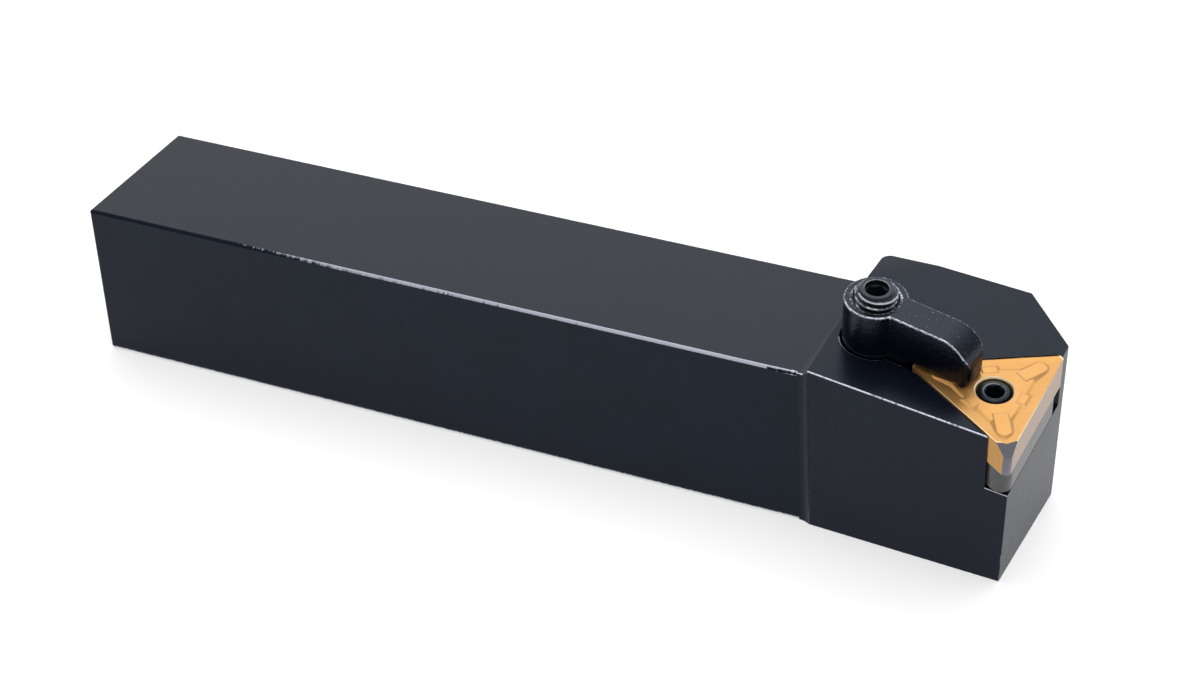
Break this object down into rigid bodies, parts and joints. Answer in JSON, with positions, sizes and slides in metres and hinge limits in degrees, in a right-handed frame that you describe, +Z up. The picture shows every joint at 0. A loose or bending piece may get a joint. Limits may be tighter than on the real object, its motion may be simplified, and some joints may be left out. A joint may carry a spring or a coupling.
{
  "type": "turning tool holder",
  "caption": "Square-shank turning tool holder with a tilted triangular insert on a shim, held by a threaded lock pin and a screw-worked top clamp.",
  "frame": {"origin": "middle of the straight shank's flat underside, half way between the rear end and the head", "axes": "+X along the shank from its rear end towards the front cutting edge, +Z up through the insert, +Y across the shank away from the cutting nose"},
  "size_m": [0.1526, 0.0316, 0.0383],
  "materials": {
    "black_oxide_steel": "black oxide, semi-matt, worn bright on the edges",
    "insert_coating": "satin gold coating",
    "shim_carbide": "ground, grey",
    "pin_steel": "black oxide",
    "clamp_steel": "black oxide over a cast skin, glossy",
    "screw_steel": "gunmetal, worn bright on the thread crests"
  },
  "bodies": {
    "holder": {"holder_body": "black_oxide_steel", "shim": "shim_carbide", "insert": "insert_coating"},
    "pin": {"lock_pin": "pin_steel"},
    "screw": {"clamp_screw": "screw_steel"},
    "top_clamp": {"clamp": "clamp_steel"}
  },
  "joints": [
    {"name": "clamp_lift", "type": "slide", "parent": "holder", "child": "top_clamp", "axis": [0.0935, -0.1097, 0.9895], "range_m": [0, 0.005]},
    {"name": "screw_turn", "type": "hinge", "parent": "holder", "child": "screw", "pos_m": [0.06796, -0.00542, 0.02935], "axis": [0.0935, -0.1097, 0.9895], "range_deg": [0, 900]},
    {"name": "pin_turn", "type": "hinge", "parent": "holder", "child": "pin", "pos_m": [0.08689, -0.0087, 0.0272], "axis": [0.0935, -0.1097, 0.9895], "range_deg": [0, 180]}
  ],
  "couplings": [
    {"joint": "screw_turn", "follows": "clamp_lift", "rad_per_m": 3141.6}
  ]
}
